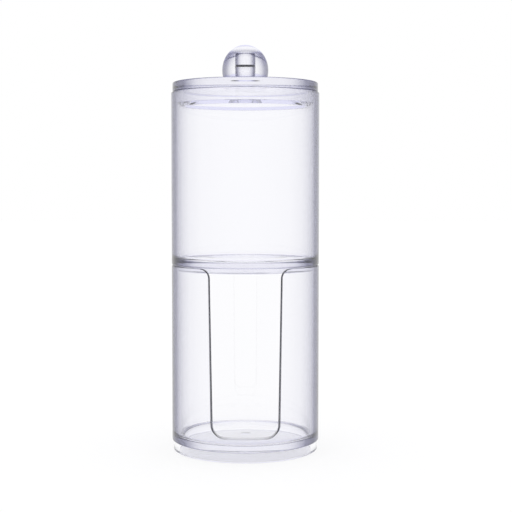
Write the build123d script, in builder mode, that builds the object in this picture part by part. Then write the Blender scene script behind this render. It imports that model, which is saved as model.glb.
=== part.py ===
from build123d import *
import os

# Cotton pad and swab organizer: a clear round tower of moulded pieces that stack on one axis.
# The lower jar gives out pads through a slot, the upper jar stands in its rim and holds swabs,
# and a plug lid with a ball knob closes the top.
# Millimetres, +Z up. The origin is the middle of the foot's underside, and the slot faces -Y.

# Both jars
body_radius = 36.5
rim_wall = 2.4
floor_wall = 3.9
floor_corner_radius = 2.5
rim_edge_radius = 0.5
shoulder_radius = 1.0
fit_clearance = 0.3

# Lower jar
foot_height = 5.0
foot_inset = 0.7
foot_wall = 3.0
foot_edge_radius = 0.6
lower_floor_thickness = 2.4
lower_body_height = 86.7

# Pad slot, open at the lower jar's rim
slot_mouth_width = 33.6
slot_sill_width = 30.9
slot_sill_rise = 4.35
slot_sill_radius = 5.5
slot_mouth_radius = 4.6
cut_overrun = 2.0

# Upper jar
upper_floor_thickness = 2.7
upper_body_height = 84.8
spigot_height = 2.4
spigot_edge_radius = 0.4

# Round gate wells under both floors
gate_radius = 3.3
gate_depth = 0.3

# Lid
lid_inset = 0.65
lid_thickness = 4.9
lid_edge_radius = 0.7
plug_depth = 7.3
plug_wall = 2.75
plug_lead_width = 2.2
plug_lead_height = 1.7

# Knob and the lid's peg inside it
knob_radius = 11.4
knob_half_height = 12.45
knob_middle_rise = 6.1
peg_radius = 4.8
peg_height = 8.0
knob_bore_depth = 13.2
peg_clearance = 0.2

# Share of the step above the foot that its rounded corner takes
foot_step_round_share = 0.8

# Radii that several pieces follow
rim_inner_radius = body_radius - rim_wall
floor_inner_radius = body_radius - floor_wall
foot_radius = body_radius - foot_inset
foot_inner_radius = foot_radius - foot_wall
lid_radius = body_radius - lid_inset

# Heights up the stack
lower_floor_z = foot_height + lower_floor_thickness
slot_sill_z = lower_floor_z + slot_sill_rise
seam_z = foot_height + lower_body_height
upper_floor_z = seam_z + upper_floor_thickness
upper_rim_z = seam_z + upper_body_height
lid_top_z = upper_rim_z + lid_thickness
knob_middle_z = lid_top_z + knob_middle_rise


def bore_radius_at(depth, bore_depth):
    """Radius of a jar's tapered bore at a depth below its rim."""
    return rim_inner_radius - (rim_inner_radius - floor_inner_radius) * depth / bore_depth


def round_corner(profile, corner, radius):
    """Rounds the corner of a sketched profile that lies nearest to a point."""
    fillet(profile.vertices().sort_by_distance(corner)[0], radius)


# The plug and the spigot clear the narrowest part of the bore that they reach
spigot_radius = bore_radius_at(spigot_height, seam_z - lower_floor_z) - fit_clearance
plug_radius = bore_radius_at(plug_depth, upper_rim_z - upper_floor_z) - fit_clearance
plug_inner_radius = plug_radius - plug_wall

os.makedirs("parts", exist_ok=True)

# Lower jar: tapered bore, a floor slab over a hollow foot, and the pad slot in front
with BuildPart() as lower_jar:
    with BuildSketch(Plane.XZ) as lower_profile:
        with BuildLine():
            Polyline(
                (0, foot_height + gate_depth),
                (gate_radius, foot_height + gate_depth),
                (gate_radius, foot_height),
                (foot_inner_radius, foot_height),
                (foot_inner_radius, 0),
                (foot_radius, 0),
                (foot_radius, foot_height),
                (body_radius, foot_height),
                (body_radius, seam_z),
                (rim_inner_radius, seam_z),
                (floor_inner_radius, lower_floor_z),
                (0, lower_floor_z),
                close=True,
            )
        make_face()
        round_corner(lower_profile, (foot_radius, 0), foot_edge_radius)
        round_corner(lower_profile, (body_radius, foot_height), foot_inset * foot_step_round_share)
        round_corner(lower_profile, (body_radius, seam_z), rim_edge_radius)
        round_corner(lower_profile, (rim_inner_radius, seam_z), rim_edge_radius)
        round_corner(lower_profile, (floor_inner_radius, lower_floor_z), floor_corner_radius)
    revolve(axis=Axis.Z)
    slot_mouth_half = slot_mouth_width / 2
    slot_sill_half = slot_sill_width / 2
    slot_flare_half = slot_mouth_half + 2 * slot_mouth_radius
    with BuildSketch(Plane.XZ) as slot_outline:
        with BuildLine():
            Polyline(
                (-slot_flare_half, seam_z + cut_overrun),
                (-slot_flare_half, seam_z),
                (-slot_mouth_half, seam_z),
                (-slot_sill_half, slot_sill_z),
                (slot_sill_half, slot_sill_z),
                (slot_mouth_half, seam_z),
                (slot_flare_half, seam_z),
                (slot_flare_half, seam_z + cut_overrun),
                close=True,
            )
        make_face()
        for side in (-1, 1):
            round_corner(slot_outline, (side * slot_mouth_half, seam_z), slot_mouth_radius)
            round_corner(slot_outline, (side * slot_sill_half, slot_sill_z), slot_sill_radius)
    extrude(amount=body_radius + cut_overrun, mode=Mode.SUBTRACT)
lower_jar.part.label = "lower_jar"
export_step(lower_jar.part, "parts/lower_jar.step")

# Upper jar: the same bore over a thick base, whose spigot drops into the lower jar's rim
with BuildPart() as upper_jar:
    spigot_z = seam_z - spigot_height
    with BuildSketch(Plane.XZ) as upper_profile:
        with BuildLine():
            Polyline(
                (0, spigot_z + gate_depth),
                (gate_radius, spigot_z + gate_depth),
                (gate_radius, spigot_z),
                (spigot_radius, spigot_z),
                (spigot_radius, seam_z),
                (body_radius, seam_z),
                (body_radius, upper_rim_z),
                (rim_inner_radius, upper_rim_z),
                (floor_inner_radius, upper_floor_z),
                (0, upper_floor_z),
                close=True,
            )
        make_face()
        round_corner(upper_profile, (spigot_radius, spigot_z), spigot_edge_radius)
        round_corner(upper_profile, (body_radius, seam_z), shoulder_radius)
        round_corner(upper_profile, (body_radius, upper_rim_z), rim_edge_radius)
        round_corner(upper_profile, (rim_inner_radius, upper_rim_z), rim_edge_radius)
        round_corner(upper_profile, (floor_inner_radius, upper_floor_z), floor_corner_radius)
    revolve(axis=Axis.Z)
upper_jar.part.label = "upper_jar"
export_step(upper_jar.part, "parts/upper_jar.step")

# Lid: a thick disc on the rim, a hollow plug with a lead-in below, and the knob's peg on top
with BuildPart() as lid:
    plug_z = upper_rim_z - plug_depth
    with BuildSketch(Plane.XZ) as lid_profile:
        with BuildLine():
            Polyline(
                (0, upper_rim_z),
                (plug_inner_radius, upper_rim_z),
                (plug_inner_radius, plug_z),
                (plug_radius - plug_lead_width, plug_z),
                (plug_radius, plug_z + plug_lead_height),
                (plug_radius, upper_rim_z),
                (lid_radius, upper_rim_z),
                (lid_radius, lid_top_z),
                (peg_radius, lid_top_z),
                (peg_radius, lid_top_z + peg_height),
                (0, lid_top_z + peg_height),
                close=True,
            )
        make_face()
        round_corner(lid_profile, (lid_radius, upper_rim_z), lid_edge_radius)
        round_corner(lid_profile, (lid_radius, lid_top_z), lid_edge_radius)
    revolve(axis=Axis.Z)
lid.part.label = "lid"
export_step(lid.part, "parts/lid.step")

# Knob: an upright egg shape cut flat where it sits on the lid, with a blind bore for the peg
with BuildPart() as knob:
    with BuildSketch(Plane.XZ) as knob_profile:
        with Locations((0, knob_middle_z)):
            Ellipse(knob_radius, knob_half_height)
        with Locations((0, lid_top_z)):
            Rectangle(
                2 * knob_radius,
                knob_half_height,
                align=(Align.CENTER, Align.MAX),
                mode=Mode.SUBTRACT,
            )
            Rectangle(
                2 * (peg_radius + peg_clearance),
                knob_bore_depth,
                align=(Align.CENTER, Align.MIN),
                mode=Mode.SUBTRACT,
            )
        split(bisect_by=Plane.YZ)
    revolve(axis=Axis.Z)
knob.part.label = "knob"
export_step(knob.part, "parts/knob.step")
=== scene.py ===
import math

import bpy
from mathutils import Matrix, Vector


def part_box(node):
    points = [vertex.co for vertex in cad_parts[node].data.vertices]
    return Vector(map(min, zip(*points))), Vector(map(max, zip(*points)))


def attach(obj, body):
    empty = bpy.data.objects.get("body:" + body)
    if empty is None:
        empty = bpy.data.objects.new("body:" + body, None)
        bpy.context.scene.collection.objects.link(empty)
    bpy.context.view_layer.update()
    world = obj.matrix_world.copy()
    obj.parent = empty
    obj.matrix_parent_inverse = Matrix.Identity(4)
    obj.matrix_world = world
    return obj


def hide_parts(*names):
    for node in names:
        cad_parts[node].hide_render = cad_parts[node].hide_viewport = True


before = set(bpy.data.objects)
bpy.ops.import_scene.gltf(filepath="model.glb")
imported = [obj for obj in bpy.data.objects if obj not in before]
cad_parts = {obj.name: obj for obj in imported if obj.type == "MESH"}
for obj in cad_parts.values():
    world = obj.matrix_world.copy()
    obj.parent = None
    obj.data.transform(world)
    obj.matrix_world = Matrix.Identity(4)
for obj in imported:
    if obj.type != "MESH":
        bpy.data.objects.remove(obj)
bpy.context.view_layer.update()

mm = 0.001


def clearSelection():
    bpy.ops.object.select_all(action="DESELECT")


def pickPiece(piece):
    clearSelection()
    piece.select_set(True)
    bpy.context.view_layer.objects.active = piece


# centre of a corner's arc, and the ways from it to the arc's two ends
def findArc(corners, index):
    across, up, rounding = corners[index]
    corner = Vector((across, up))
    back = (Vector(corners[index - 1][:2]) - corner).normalized()
    ahead = (Vector(corners[index + 1][:2]) - corner).normalized()
    half = back.angle(ahead) / 2
    centre = corner + (back + ahead).normalized() * rounding / math.sin(half)
    first = corner + back * rounding / math.tan(half) - centre
    final = corner + ahead * rounding / math.tan(half) - centre
    return centre, first, final


# corners are (across, up, rounding): each one with a rounding becomes an arc
def roundCorners(corners, arcSteps):
    points = []
    for index, (across, up, rounding) in enumerate(corners):
        if rounding == 0:
            points.append(Vector((across, up)))
            continue
        centre, first, final = findArc(corners, index)
        points += [centre + rounding * first.slerp(final, step / arcSteps) for step in range(arcSteps + 1)]
    return points


# one vertex, extruded from point to point in the XZ plane; leaves edit mode on
def drawOutline(name, points, y):
    clearSelection()
    bpy.ops.mesh.primitive_plane_add(size=mm, location=(points[0].x, y, points[0].y))
    piece = bpy.context.object
    piece.name = piece.data.name = name
    bpy.ops.object.transform_apply(location=True, rotation=True, scale=True)
    bpy.ops.object.mode_set(mode="EDIT")
    bpy.ops.mesh.select_mode(type="VERT")
    bpy.ops.mesh.select_all(action="SELECT")
    bpy.ops.mesh.merge(type="CENTER")
    for here, there in zip(points, points[1:]):
        step = there - here
        bpy.ops.mesh.extrude_region_move(TRANSFORM_OT_translate={"value": (step.x, 0, step.y)})
    return piece


# a half section spun round the tower's axis
def turnPiece(name, points, turns):
    piece = drawOutline(name, points, 0)
    bpy.ops.mesh.select_all(action="SELECT")
    bpy.ops.mesh.spin(steps=turns, angle=2 * math.pi, center=(0, 0, 0), axis=(0, 0, 1))
    bpy.ops.mesh.select_all(action="SELECT")
    bpy.ops.mesh.remove_doubles(threshold=0.002 * mm)
    bpy.ops.mesh.normals_make_consistent(inside=False)
    bpy.ops.object.mode_set(mode="OBJECT")
    return piece


# flat and round faces keep their own normals up to the small edge arcs
def polishPiece(piece):
    pickPiece(piece)
    bpy.ops.object.shade_smooth_by_angle(angle=smoothAngle)
    bpy.ops.object.modifier_add(type="WEIGHTED_NORMAL")
    weighted = piece.modifiers[-1]
    weighted.weight = 100
    weighted.keep_sharp = True
    bpy.ops.object.modifier_apply(modifier=weighted.name)


turnSteps = 240
arcSteps = 6
smoothAngle = math.radians(40)
# air film between seats, so that no two faces lie in one plane
seatGap = 0.04 * mm

lowerLow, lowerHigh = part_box("lower_jar")
upperLow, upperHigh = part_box("upper_jar")
lidLow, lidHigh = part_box("lid")
knobLow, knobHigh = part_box("knob")
bodyRadius = lowerHigh.x
seamUp = lowerHigh.z
rimUp = upperHigh.z
lidTopUp = knobLow.z

bore = {
    "rimRadius": bodyRadius - 2.4 * mm,
    "floorRadius": bodyRadius - 3.9 * mm,
    "rimEdge": 0.5 * mm,
    "floorCorner": 2.5 * mm,
    "solidRise": 1.5 * mm,
    "gateRadius": 3.3 * mm,
    "gateDepth": 0.25 * mm,
    "gateFlat": 1.5 * mm,
}

lowerJar = {
    "footUp": 5.0 * mm,
    "footRadius": bodyRadius - 0.7 * mm,
    "footWall": 3.0 * mm,
    "footEdge": 0.6 * mm,
    "recessCorner": 0.4 * mm,
    "recessEdge": 0.3 * mm,
    "stepEdge": 0.56 * mm,
    "floorUp": 7.4 * mm,
    "slotMouth": 16.8 * mm,
    "slotSill": 15.45 * mm,
    "slotSillUp": 11.75 * mm,
    "slotSillCorner": 5.5 * mm,
    "slotMouthCorner": 4.6 * mm,
    "slotArcSteps": 10,
    "slotOverrun": 2.0 * mm,
    "slotEdge": 0.1 * mm,
    "slotEdgeSteps": 4,
    "slotEdgeAngle": math.radians(35),
    "slotNear": 0.02 * mm,
    "slotUpright": 0.35,
    # painted shade lines along the slot's edges: width and colour
    "slotShadeBand": 0.42 * mm,
    "slotShadeBandColour": (0.012, 0.012, 0.018),
    "slotSillShare": 0.45,
    "slotFadeIn": 3.0 * mm,
    "slotFadeOut": 4.4 * mm,
}


def makeLowerJar():
    jar = lowerJar
    footInner = jar["footRadius"] - jar["footWall"]
    gateUp = jar["footUp"] + bore["gateDepth"]
    section = [
        (0, gateUp, 0),
        (bore["gateFlat"], gateUp, 0),
        (bore["gateRadius"], jar["footUp"], 0),
        (footInner, jar["footUp"], jar["recessCorner"]),
        (footInner, 0, jar["recessEdge"]),
        (jar["footRadius"], 0, jar["footEdge"]),
        (jar["footRadius"], jar["footUp"], 0),
        (bodyRadius, jar["footUp"], jar["stepEdge"]),
        (bodyRadius, seamUp, bore["rimEdge"]),
        (bore["rimRadius"], seamUp, bore["rimEdge"]),
        (bore["floorRadius"], jar["floorUp"], bore["floorCorner"]),
        (0, jar["floorUp"], 0),
    ]
    piece = turnPiece("padDispenser", roundCorners(section, arcSteps), turnSteps)
    piece.data.materials.append(lowerPlastic)
    piece.data.materials.append(slotShadePlastic)
    cutSlot(piece)
    polishPiece(piece)
    return piece


def slotCorners():
    jar = lowerJar
    flare = jar["slotMouth"] + 2 * jar["slotMouthCorner"]
    above = seamUp + jar["slotOverrun"]
    right = [
        (jar["slotSill"], jar["slotSillUp"], jar["slotSillCorner"]),
        (jar["slotMouth"], seamUp, jar["slotMouthCorner"]),
        (flare, seamUp, 0),
        (flare, above, 0),
    ]
    left = [(-across, up, rounding) for across, up, rounding in reversed(right)]
    return left + right


def cutSlot(piece):
    outline = roundCorners(slotCorners(), lowerJar["slotArcSteps"])
    front = -bodyRadius - lowerJar["slotOverrun"]
    cutter = drawOutline("slotCutter", outline, front)
    bpy.ops.mesh.select_all(action="SELECT")
    bpy.ops.mesh.edge_face_add()
    bpy.ops.mesh.extrude_region_move(TRANSFORM_OT_translate={"value": (0, -front, 0)})
    bpy.ops.mesh.select_all(action="SELECT")
    bpy.ops.mesh.normals_make_consistent(inside=False)
    bpy.ops.object.mode_set(mode="OBJECT")
    pickPiece(piece)
    bpy.ops.object.modifier_add(type="BOOLEAN")
    cut = piece.modifiers[-1]
    cut.operation = "DIFFERENCE"
    cut.solver = "EXACT"
    cut.object = cutter
    bpy.ops.object.modifier_apply(modifier=cut.name)
    bpy.data.objects.remove(cutter)
    softenSlot(piece, outline)


# bevels the slot's two long edges, found by their place on its outline, and gives its upright cut faces a
# darker tint, painted shade
def softenSlot(piece, outline):
    mesh = piece.data
    near = lowerJar["slotNear"]

    def onOutline(point):
        if point.y > 0:
            return False
        flat = Vector((point.x, point.z))
        for here, there in zip(outline, outline[1:]):
            along = there - here
            share = max(0, min(1, (flat - here).dot(along) / along.length_squared))
            if (flat - here - along * share).length < near:
                return True
        return False

    cutPoints = {vert.index for vert in mesh.vertices if onOutline(vert.co)}
    faceNormals = {}
    for face in mesh.polygons:
        for key in face.edge_keys:
            faceNormals.setdefault(key, []).append(face.normal.copy())
        if all(index in cutPoints for index in face.vertices):
            upright = abs(face.normal.x) > lowerJar["slotUpright"] or face.center.z > seamUp / 2
            face.material_index = 1 if upright else 0
    for thing in (mesh.vertices, mesh.edges, mesh.polygons):
        for item in thing:
            item.select = False
    for edge in mesh.edges:
        normals = faceNormals[edge.key]
        onCut = all(index in cutPoints for index in edge.vertices)
        edge.select = onCut and len(normals) == 2 and normals[0].angle(normals[1]) > lowerJar["slotEdgeAngle"]
    pickPiece(piece)
    bpy.ops.object.mode_set(mode="EDIT")
    bpy.ops.mesh.select_mode(type="EDGE")
    bpy.ops.mesh.bevel(
        offset=lowerJar["slotEdge"],
        segments=lowerJar["slotEdgeSteps"],
        affect="EDGES",
        clamp_overlap=True,
    )
    bpy.ops.object.mode_set(mode="OBJECT")


upperJar = {
    "floorUp": seamUp + 2.7 * mm,
    "spigotRadius": bodyRadius - 2.75 * mm,
    "spigotEdge": 0.4 * mm,
    "shoulderEdge": 1.0 * mm,
}


def makeUpperJar():
    jar = upperJar
    gateUp = upperLow.z + bore["gateDepth"]
    seat = seamUp + seatGap
    section = [
        (0, gateUp, 0),
        (bore["gateFlat"], gateUp, 0),
        (bore["gateRadius"], upperLow.z, 0),
        (jar["spigotRadius"], upperLow.z, jar["spigotEdge"]),
        (jar["spigotRadius"], seat, 0),
        (bodyRadius, seat, jar["shoulderEdge"]),
        (bodyRadius, rimUp, bore["rimEdge"]),
        (bore["rimRadius"], rimUp, bore["rimEdge"]),
        (bore["floorRadius"], jar["floorUp"], bore["floorCorner"]),
        (0, jar["floorUp"], 0),
    ]
    piece = turnPiece("swabJar", roundCorners(section, arcSteps), turnSteps)
    polishPiece(piece)
    return piece


plugLid = {
    "edge": 0.7 * mm,
    "plugRadius": bodyRadius - 2.83 * mm,
    "plugWall": 2.75 * mm,
    "leadWidth": 2.2 * mm,
    "leadHeight": 1.7 * mm,
    "pegRadius": 4.8 * mm,
    "pegEdge": 0.5 * mm,
    "hollowCorner": 0.5 * mm,
    "hollowEdge": 0.3 * mm,
    "leadEdge": 0.4 * mm,
}


def makeLid():
    lid = plugLid
    plugInner = lid["plugRadius"] - lid["plugWall"]
    seat = rimUp + seatGap
    section = [
        (0, seat, 0),
        (plugInner, seat, lid["hollowCorner"]),
        (plugInner, lidLow.z, lid["hollowEdge"]),
        (lid["plugRadius"] - lid["leadWidth"], lidLow.z, lid["leadEdge"]),
        (lid["plugRadius"], lidLow.z + lid["leadHeight"], lid["leadEdge"]),
        (lid["plugRadius"], seat, 0),
        (lidHigh.x, seat, lid["edge"]),
        (lidHigh.x, lidTopUp - seatGap, lid["edge"]),
        (lid["pegRadius"], lidTopUp - seatGap, 0),
        (lid["pegRadius"], lidHigh.z, lid["pegEdge"]),
        (0, lidHigh.z, 0),
    ]
    piece = turnPiece("plugLid", roundCorners(section, arcSteps), turnSteps)
    piece.data.materials.append(lidPlastic)
    piece.data.materials.append(pegShadePlastic)
    # the peg's top edge gets a near-black opaque ring, painted shade
    for face in piece.data.polygons:
        nearTop = face.center.z > lidHigh.z - lid["pegEdge"]
        nearEdge = face.center.xy.length > lid["pegRadius"] - lid["pegEdge"]
        face.material_index = 1 if nearTop and nearEdge else 0
    polishPiece(piece)
    return piece


ballKnob = {
    "middleUp": lidTopUp + 6.1 * mm,
    "boreRadius": 5.0 * mm,
    "boreDepth": 13.2 * mm,
    "boreEdge": 0.3 * mm,
    "profileSteps": 48,
    "turnSteps": 128,
    # the knob's painted shade is lifted where its normal points up, a painted highlight
    "crownHighlightFrom": 0.6,
    "crownHighlightTo": 0.78,
    "boreEndFacing": -0.5,
}


def makeKnob():
    knob = ballKnob
    seat = lidTopUp
    halfHeight = knobHigh.z - knob["middleUp"]
    lowAngle = -math.asin((knob["middleUp"] - seat) / halfHeight)
    boreTop = seat + knob["boreDepth"]
    points = roundCorners(
        [
            (0, boreTop, 0),
            (knob["boreRadius"], boreTop, knob["boreEdge"]),
            (knob["boreRadius"], seat, 0),
        ],
        arcSteps,
    )
    for step in range(knob["profileSteps"] + 1):
        angle = lowAngle + (math.pi / 2 - lowAngle) * step / knob["profileSteps"]
        across = knobHigh.x * math.cos(angle)
        points.append(Vector((across, knob["middleUp"] + halfHeight * math.sin(angle))))
    points[-1].x = 0
    piece = turnPiece("ballKnob", points, knob["turnSteps"])
    polishPiece(piece)
    return piece


mouldSmear = {
    "size": 220.0,
    "detail": 3.0,
    "low": 0.35,
    "high": 0.75,
}


# slow ripples that a polished mould leaves in thick clear plastic, and fine smears of haze
def makeFlowGroup():
    group = bpy.data.node_groups.new("mouldFlow", "ShaderNodeTree")
    face = group.interface
    face.new_socket("Ripple Size", in_out="INPUT", socket_type="NodeSocketFloat")
    face.new_socket("Haze Low", in_out="INPUT", socket_type="NodeSocketFloat")
    face.new_socket("Haze High", in_out="INPUT", socket_type="NodeSocketFloat")
    face.new_socket("Height", in_out="OUTPUT", socket_type="NodeSocketFloat")
    face.new_socket("Haze", in_out="OUTPUT", socket_type="NodeSocketFloat")
    nodes, links = group.nodes, group.links
    inside = nodes.new("NodeGroupInput")
    outside = nodes.new("NodeGroupOutput")
    place = nodes.new("ShaderNodeTexCoord")
    ripple = nodes.new("ShaderNodeTexNoise")
    ripple.inputs["Detail"].default_value = 1.0
    links.new(place.outputs["Object"], ripple.inputs["Vector"])
    links.new(inside.outputs["Ripple Size"], ripple.inputs["Scale"])
    links.new(ripple.outputs["Fac"], outside.inputs["Height"])
    smear = nodes.new("ShaderNodeTexNoise")
    smear.inputs["Scale"].default_value = mouldSmear["size"]
    smear.inputs["Detail"].default_value = mouldSmear["detail"]
    links.new(place.outputs["Object"], smear.inputs["Vector"])
    spread = nodes.new("ShaderNodeMapRange")
    spread.inputs["From Min"].default_value = mouldSmear["low"]
    spread.inputs["From Max"].default_value = mouldSmear["high"]
    links.new(smear.outputs["Fac"], spread.inputs["Value"])
    links.new(inside.outputs["Haze Low"], spread.inputs["To Min"])
    links.new(inside.outputs["Haze High"], spread.inputs["To Max"])
    links.new(spread.outputs["Result"], outside.inputs["Haze"])
    return group


# a straight-line curve through (input, output) points, all from 0 to 1
def shapeCurve(nodes, links, source, points):
    ramp = nodes.new("ShaderNodeFloatCurve")
    curve = ramp.mapping.curves[0]
    while len(curve.points) < len(points):
        curve.points.new(0.5, 0.5)
    for point, place in zip(curve.points, points):
        point.location = place
        point.handle_type = "VECTOR"
    ramp.mapping.update()
    links.new(source, ramp.inputs["Value"])
    return ramp.outputs["Value"]


def mathNode(nodes, links, operation, *values):
    node = nodes.new("ShaderNodeMath")
    node.operation = operation
    for socket, value in zip(node.inputs, values):
        if isinstance(value, (int, float)):
            socket.default_value = value
        else:
            links.new(value, socket)
    return node.outputs[0]


# painted shade: clear plastic is darkened smoothly where its outer face turns away, and solid slabs sooner
# than walls
paintedEdgeShade = {
    "light": (0.985, 0.985, 1.0),
    "blueLift": 0.8,
    "wall": [(0.0, 1.0), (0.2, 0.95), (0.35, 0.82), (0.45, 0.63), (0.55, 0.38), (0.65, 0.08), (0.75, 0.03),
             (1.0, 0.03)],
    "slab": [(0.0, 1.0), (0.15, 0.95), (0.25, 0.75), (0.35, 0.35), (0.45, 0.1), (0.65, 0.03), (1.0, 0.02)],
    "collar": [(0.0, 1.0), (0.1, 0.93), (0.2, 0.82), (0.35, 0.7), (0.6, 0.58), (1.0, 0.5)],
    "ball": [(0.0, 1.0), (0.15, 0.9), (0.25, 0.65), (0.35, 0.35), (0.45, 0.15), (0.7, 0.05), (1.0, 0.05)],
    "bore": [(0.0, 1.0), (0.1, 0.85), (0.2, 0.5), (0.3, 0.2), (0.45, 0.05), (1.0, 0.03)],
}


# a painted-shade group: two Facing curves, and masks for beyond a radius and between two heights
def makeShadeGroup(name, rounded, inner):
    group = bpy.data.node_groups.new(name, "ShaderNodeTree")
    face = group.interface
    for socket in ("Facing", "Inside", "Radius", "Low", "High"):
        face.new_socket(socket, in_out="INPUT", socket_type="NodeSocketFloat")
    face.new_socket("Colour", in_out="OUTPUT", socket_type="NodeSocketColor")
    nodes, links = group.nodes, group.links
    inside = nodes.new("NodeGroupInput").outputs
    outside = nodes.new("NodeGroupOutput")

    def do(operation, *values):
        return mathNode(nodes, links, operation, *values)

    place = nodes.new("ShaderNodeTexCoord")
    split = nodes.new("ShaderNodeSeparateXYZ")
    links.new(place.outputs["Object"], split.inputs[0])
    across = do("SQRT", do("ADD", do("POWER", split.outputs["X"], 2.0), do("POWER", split.outputs["Y"], 2.0)))
    beyond = do("GREATER_THAN", across, inside["Radius"])
    above = do("GREATER_THAN", split.outputs["Z"], inside["Low"])
    below = do("LESS_THAN", split.outputs["Z"], inside["High"])
    between = do("MULTIPLY", above, below)
    first = shapeCurve(nodes, links, inside["Facing"], paintedEdgeShade[rounded])
    second = shapeCurve(nodes, links, inside["Facing"], paintedEdgeShade[inner])
    return group, nodes, links, do, inside, outside, beyond, between, first, second


# painted shade on front faces only; blue is darkened less than red and green
def finishShadeGroup(parts, share, tone):
    group, nodes, links, do, inside, outside = parts[:6]
    shown = do("MULTIPLY", share, do("SUBTRACT", 1.0, inside["Inside"]))
    level = do("SUBTRACT", 1.0, do("MULTIPLY", shown, do("SUBTRACT", 1.0, tone)))
    colour = nodes.new("ShaderNodeCombineColor")
    for socket, part in zip(("Red", "Green"), paintedEdgeShade["light"]):
        links.new(do("MULTIPLY", level, part), colour.inputs[socket])
    links.new(do("POWER", level, paintedEdgeShade["blueLift"]), colour.inputs["Blue"])
    links.new(colour.outputs["Color"], outside.inputs["Colour"])
    return group


# tone is painted shade: wall curve, or slab curve between two heights; only beyond a radius
def makeTurnedShade(name, rounded):
    parts = makeShadeGroup(name, rounded, "slab")
    do, beyond, between, first, second = parts[3], *parts[6:]
    tone = do("ADD", do("MULTIPLY", second, between), do("MULTIPLY", first, do("SUBTRACT", 1.0, between)))
    return finishShadeGroup(parts, beyond, tone)


# tone is painted shade: ball curve, or bore curve within the bore; lifted on the upward-facing crown, a
# painted highlight, and at the bore's end
def makeKnobShade():
    parts = makeShadeGroup("knobShade", "ball", "bore")
    nodes, links = parts[1:3]
    do, beyond, between, first, second = parts[3], *parts[6:]
    boreShare = do("MULTIPLY", between, do("SUBTRACT", 1.0, beyond))
    normal = nodes.new("ShaderNodeTexCoord")
    split = nodes.new("ShaderNodeSeparateXYZ")
    links.new(normal.outputs["Normal"], split.inputs[0])
    crown = nodes.new("ShaderNodeMapRange")
    crown.inputs["From Min"].default_value = ballKnob["crownHighlightFrom"]
    crown.inputs["From Max"].default_value = ballKnob["crownHighlightTo"]
    links.new(split.outputs["Z"], crown.inputs["Value"])
    boreTop = do("LESS_THAN", split.outputs["Z"], ballKnob["boreEndFacing"])
    ballTone = do("MAXIMUM", first, do("MAXIMUM", crown.outputs["Result"], boreTop))
    ballShare = do("SUBTRACT", 1.0, boreShare)
    tone = do("ADD", do("MULTIPLY", second, boreShare), do("MULTIPLY", ballTone, ballShare))
    return finishShadeGroup(parts, 1.0, tone)


# painted shade: the slot's rounded edges get thin dark lines, a band along its sides and corners, on both
# wall faces
def makeSlotShadeBand():
    group = bpy.data.node_groups.new("slotShadeBand", "ShaderNodeTree")
    face = group.interface
    face.new_socket("Colour", in_out="INPUT", socket_type="NodeSocketColor")
    face.new_socket("Band", in_out="INPUT", socket_type="NodeSocketFloat")
    face.new_socket("Colour", in_out="OUTPUT", socket_type="NodeSocketColor")
    nodes, links = group.nodes, group.links
    inside = nodes.new("NodeGroupInput").outputs
    outside = nodes.new("NodeGroupOutput")

    def do(operation, *values):
        return mathNode(nodes, links, operation, *values)

    place = nodes.new("ShaderNodeTexCoord")
    split = nodes.new("ShaderNodeSeparateXYZ")
    links.new(place.outputs["Object"], split.inputs[0])
    across = do("ABSOLUTE", split.outputs["X"])
    up = split.outputs["Z"]
    corners = slotCorners()
    sillCentre, sideLow = findArc(corners, 4)[::2]
    mouthCentre, sideHigh = findArc(corners, 5)[:2]
    lowPoint = sillCentre + sideLow
    highPoint = mouthCentre + sideHigh
    lean = (highPoint.x - lowPoint.x) / (highPoint.y - lowPoint.y)

    def fromArc(centre, rounding):
        sideways = do("POWER", do("SUBTRACT", across, centre.x), 2.0)
        upward = do("POWER", do("SUBTRACT", up, centre.y), 2.0)
        return do("ABSOLUTE", do("SUBTRACT", do("SQRT", do("ADD", sideways, upward)), rounding))

    sideAcross = do("MULTIPLY_ADD", up, lean, lowPoint.x - lean * lowPoint.y)
    fromSide = do("ABSOLUTE", do("SUBTRACT", across, sideAcross))
    isLow = do("LESS_THAN", up, lowPoint.y)
    isHigh = do("GREATER_THAN", up, highPoint.y)
    isSide = do("SUBTRACT", 1.0, do("ADD", isLow, isHigh))
    onSill = do("LESS_THAN", across, sillCentre.x)
    offSill = do("SUBTRACT", 1.0, onSill)
    fromFlat = do("ABSOLUTE", do("SUBTRACT", up, lowerJar["slotSillUp"]))
    fromCorner = fromArc(sillCentre, lowerJar["slotSillCorner"])
    fromSill = do("ADD", do("MULTIPLY", onSill, fromFlat), do("MULTIPLY", offSill, fromCorner))
    fromMouth = fromArc(mouthCentre, lowerJar["slotMouthCorner"])
    fromEnds = do("ADD", do("MULTIPLY", isLow, fromSill), do("MULTIPLY", isHigh, fromMouth))
    away = do("ADD", do("MULTIPLY", isSide, fromSide), fromEnds)
    near = do("LESS_THAN", away, inside["Band"])
    fade = nodes.new("ShaderNodeMapRange")
    fade.inputs["From Min"].default_value = sillCentre.x - lowerJar["slotFadeIn"]
    fade.inputs["From Max"].default_value = sillCentre.x + lowerJar["slotFadeOut"]
    fade.inputs["To Min"].default_value = lowerJar["slotSillShare"]
    links.new(across, fade.inputs["Value"])
    front = do("MULTIPLY", do("LESS_THAN", split.outputs["Y"], 0.0), do("LESS_THAN", across, mouthCentre.x))
    mask = do("MULTIPLY", near, do("MULTIPLY", fade.outputs["Result"], front))
    colour = nodes.new("ShaderNodeMix")
    colour.data_type = "RGBA"
    colour.inputs["B"].default_value = (*lowerJar["slotShadeBandColour"], 1)
    links.new(mask, colour.inputs["Factor"])
    links.new(inside["Colour"], colour.inputs["A"])
    links.new(colour.outputs["Result"], outside.inputs["Colour"])
    return group


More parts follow.
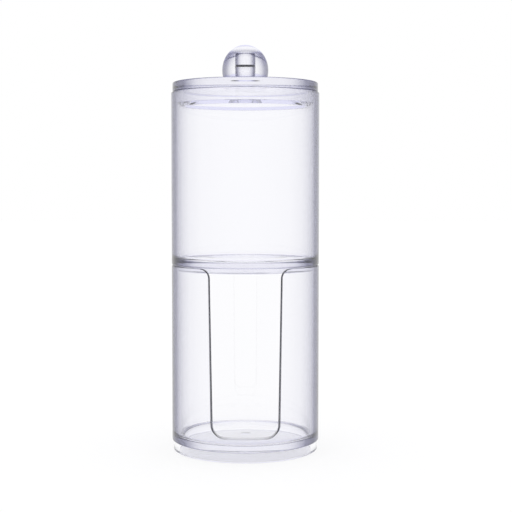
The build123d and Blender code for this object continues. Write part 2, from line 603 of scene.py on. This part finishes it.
# lays the slot's painted shade lines over the base colour
def addSlotShadeBand(material):
    nodes, links = material.node_tree.nodes, material.node_tree.links
    shader = next(node for node in nodes if node.type == "BSDF_PRINCIPLED")
    band = nodes.new("ShaderNodeGroup")
    band.node_tree = makeSlotShadeBand()
    band.inputs["Band"].default_value = lowerJar["slotShadeBand"]
    socket = shader.inputs["Base Color"]
    links.new(socket.links[0].from_socket, band.inputs["Colour"])
    links.new(band.outputs["Colour"], socket)


def makeClearPlastic(name, finish, shade=None, limits=None):
    material = bpy.data.materials.new(name)
    material.use_nodes = True
    nodes, links = material.node_tree.nodes, material.node_tree.links
    nodes.clear()
    output = nodes.new("ShaderNodeOutputMaterial")
    shader = nodes.new("ShaderNodeBsdfPrincipled")
    shader.inputs["Base Color"].default_value = (*finish["tint"], 1)
    shader.inputs["Transmission Weight"].default_value = finish["clear"]
    shader.inputs["IOR"].default_value = finish["bend"]
    links.new(shader.outputs["BSDF"], output.inputs["Surface"])
    # painted shade: Layer Weight's Facing feeds a shade group that darkens the base colour
    if shade:
        facing = nodes.new("ShaderNodeLayerWeight")
        side = nodes.new("ShaderNodeNewGeometry")
        edge = nodes.new("ShaderNodeGroup")
        edge.node_tree = shade
        links.new(facing.outputs["Facing"], edge.inputs["Facing"])
        links.new(side.outputs["Backfacing"], edge.inputs["Inside"])
        for socket, value in zip(("Radius", "Low", "High"), limits):
            edge.inputs[socket].default_value = value
        links.new(edge.outputs["Colour"], shader.inputs["Base Color"])
    flow = nodes.new("ShaderNodeGroup")
    flow.node_tree = finish["flow"]
    flow.inputs["Ripple Size"].default_value = finish["rippleSize"]
    flow.inputs["Haze Low"].default_value = finish["hazeLow"]
    flow.inputs["Haze High"].default_value = finish["hazeHigh"]
    links.new(flow.outputs["Haze"], shader.inputs["Roughness"])
    bump = nodes.new("ShaderNodeBump")
    bump.inputs["Strength"].default_value = finish["rippleStrength"]
    bump.inputs["Distance"].default_value = finish["rippleDepth"]
    links.new(flow.outputs["Height"], bump.inputs["Height"])
    links.new(bump.outputs["Normal"], shader.inputs["Normal"])
    depth = nodes.new("ShaderNodeVolumeAbsorption")
    depth.inputs["Color"].default_value = (*finish["depthTint"], 1)
    depth.inputs["Density"].default_value = finish["depthDensity"]
    links.new(depth.outputs["Volume"], output.inputs["Volume"])
    return material


def dressPiece(piece, material, node, body):
    if not piece.data.materials:
        piece.data.materials.append(material)
    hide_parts(node)
    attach(piece, body)
    print("made", piece.name, len(piece.data.polygons), "faces")


flowGroup = makeFlowGroup()
clearFinish = {
    "tint": (0.985, 0.985, 1.0),
    "clear": 1.0,
    "bend": 1.52,
    "flow": flowGroup,
    "rippleSize": 60.0,
    "rippleStrength": 0.15,
    "rippleDepth": 0.15 * mm,
    "hazeLow": 0.0,
    "hazeHigh": 0.012,
    "depthTint": (0.5, 0.5, 0.72),
    "depthDensity": 4.0,
}
# painted edge shade for the jars' walls and slabs, and for the lid's collar
turnedShade = makeTurnedShade("turnedShade", "wall")
collarShade = makeTurnedShade("collarShade", "collar")
faceDepth = 0.3 * mm
boreReach = 0.2 * mm
boreEndDepth = 0.1 * mm
# darker tints for the slot's cut faces and the peg's top edge, painted shade
slotShadeTint = (0.55, 0.55, 0.62)
pegShadeTint = (0.03, 0.03, 0.04)
pegShadeBend = 1.2
lowerPlastic = makeClearPlastic(
    "lowerPlastic", clearFinish, turnedShade,
    (bodyRadius - faceDepth, lowerJar["footUp"], lowerJar["floorUp"] + bore["solidRise"]))
addSlotShadeBand(lowerPlastic)
upperPlastic = makeClearPlastic(
    "upperPlastic", clearFinish, turnedShade,
    (bodyRadius - faceDepth, seamUp, upperJar["floorUp"] + bore["solidRise"]))
lidPlastic = makeClearPlastic(
    "lidPlastic", clearFinish, collarShade,
    (plugLid["plugRadius"] - faceDepth, rimUp, lidTopUp))
knobPlastic = makeClearPlastic(
    "knobPlastic", clearFinish, makeKnobShade(),
    (ballKnob["boreRadius"] + boreReach, lidTopUp, lidTopUp + ballKnob["boreDepth"] - boreEndDepth))
# the slot's cut faces: clear plastic tinted darker, painted shade
slotShadePlastic = makeClearPlastic("slotShadePlastic", dict(clearFinish, tint=slotShadeTint))
# near-black opaque plastic for the peg's top edge, painted shade
pegShadePlastic = makeClearPlastic(
    "pegShadePlastic", dict(clearFinish, tint=pegShadeTint, clear=0.0, bend=pegShadeBend))
print("materials ready")

dressPiece(makeLowerJar(), lowerPlastic, "lower_jar", "pad_dispenser")
dressPiece(makeUpperJar(), upperPlastic, "upper_jar", "swab_jar")
dressPiece(makeLid(), lidPlastic, "lid", "lid_with_knob")
dressPiece(makeKnob(), knobPlastic, "knob", "lid_with_knob")

studio = {
    "floorSize": 8.0,
    "floorColour": (0.2, 0.2, 0.205),
    "floorGlow": 0.82,
    "matRadius": 35.0 * mm,
    "matColour": (0.6, 0.6, 0.66),
    "matGlow": 0.53,
    "panelColour": (0.92, 0.92, 1.12),
    "panelLevel": 0.86,
    "panelRise": [(12.0, 0.0), (15.0, 1.0), (70.0, 1.0), (80.0, 0.0)],
}


def paleMaterial(name, colour, glowLevel):
    material = bpy.data.materials.new(name)
    material.use_nodes = True
    nodes, links = material.node_tree.nodes, material.node_tree.links
    nodes.clear()
    output = nodes.new("ShaderNodeOutputMaterial")
    paint = nodes.new("ShaderNodeBsdfDiffuse")
    paint.inputs["Color"].default_value = (*colour, 1)
    glow = nodes.new("ShaderNodeEmission")
    glow.inputs["Strength"].default_value = glowLevel
    both = nodes.new("ShaderNodeAddShader")
    links.new(paint.outputs["BSDF"], both.inputs[0])
    links.new(glow.outputs["Emission"], both.inputs[1])
    links.new(both.outputs["Shader"], output.inputs["Surface"])
    return material


# the floor keeps the shadow, and glass looks past it to the sky; under the foot it sees a shaded mat
def makeFloor():
    clearSelection()
    bpy.ops.mesh.primitive_plane_add(size=studio["floorSize"], location=(0, 0, -2 * seatGap))
    floor = bpy.context.object
    floor.name = "studioFloor"
    floor.data.materials.append(paleMaterial("paleFloor", studio["floorColour"], studio["floorGlow"]))
    floor.visible_transmission = False
    floor.visible_glossy = False
    clearSelection()
    bpy.ops.mesh.primitive_circle_add(
        vertices=96,
        radius=studio["matRadius"],
        fill_type="NGON",
        location=(0, 0, -seatGap),
    )
    mat = bpy.context.object
    mat.name = "studioMat"
    mat.data.materials.append(paleMaterial("paleMat", studio["matColour"], studio["matGlow"]))


# a straight-line curve through (degrees, output) points
def makeRamp(nodes, links, source, points):
    low, high = points[0][0], points[-1][0]
    place = nodes.new("ShaderNodeMapRange")
    place.inputs["From Min"].default_value = math.radians(low)
    place.inputs["From Max"].default_value = math.radians(high)
    links.new(source, place.inputs["Value"])
    shares = [((turn - low) / (high - low), level) for turn, level in points]
    return shapeCurve(nodes, links, place.outputs["Result"], shares)


# white all round; clear plastic also sees a faint lavender ring above the horizon
def makeSky():
    world = bpy.data.worlds.new("studioSky")
    bpy.context.scene.world = world
    world.use_nodes = True
    nodes, links = world.node_tree.nodes, world.node_tree.links
    nodes.clear()

    place = nodes.new("ShaderNodeTexCoord")
    split = nodes.new("ShaderNodeSeparateXYZ")
    links.new(place.outputs["Generated"], split.inputs[0])
    rise = mathNode(nodes, links, "ARCSINE", split.outputs["Z"])
    share = makeRamp(nodes, links, rise, studio["panelRise"])
    path = nodes.new("ShaderNodeLightPath")
    clearRay = mathNode(
        nodes, links, "MAXIMUM", path.outputs["Is Glossy Ray"], path.outputs["Is Transmission Ray"])
    blend = nodes.new("ShaderNodeMix")
    blend.data_type = "RGBA"
    blend.inputs["A"].default_value = (1, 1, 1, 1)
    blend.inputs["B"].default_value = (*[studio["panelLevel"] * part for part in studio["panelColour"]], 1)
    links.new(mathNode(nodes, links, "MULTIPLY", share, clearRay), blend.inputs["Factor"])
    background = nodes.new("ShaderNodeBackground")
    links.new(blend.outputs["Result"], background.inputs["Color"])
    output = nodes.new("ShaderNodeOutputWorld")
    links.new(background.outputs["Background"], output.inputs["Surface"])


makeFloor()
makeSky()
print("studio ready")

view = {
    "place": (0.0, -0.5935, 0.1298),
    "pitchDown": 3.258,
    "turnRight": 0.51,
    "lens": 84.155,
}
cameraData = bpy.data.cameras.new("photoCamera")
cameraData.lens = view["lens"]
cameraData.sensor_width = 36.0
camera = bpy.data.objects.new("photoCamera", cameraData)
bpy.context.scene.collection.objects.link(camera)
camera.location = view["place"]
camera.rotation_euler = (
    math.radians(90 - view["pitchDown"]),
    0,
    math.radians(-view["turnRight"]),
)
scene = bpy.context.scene
scene.camera = camera
scene.view_settings.view_transform = "Standard"
scene.cycles.max_bounces = 32
scene.cycles.transmission_bounces = 32
scene.cycles.glossy_bounces = 16

print("all pieces placed")
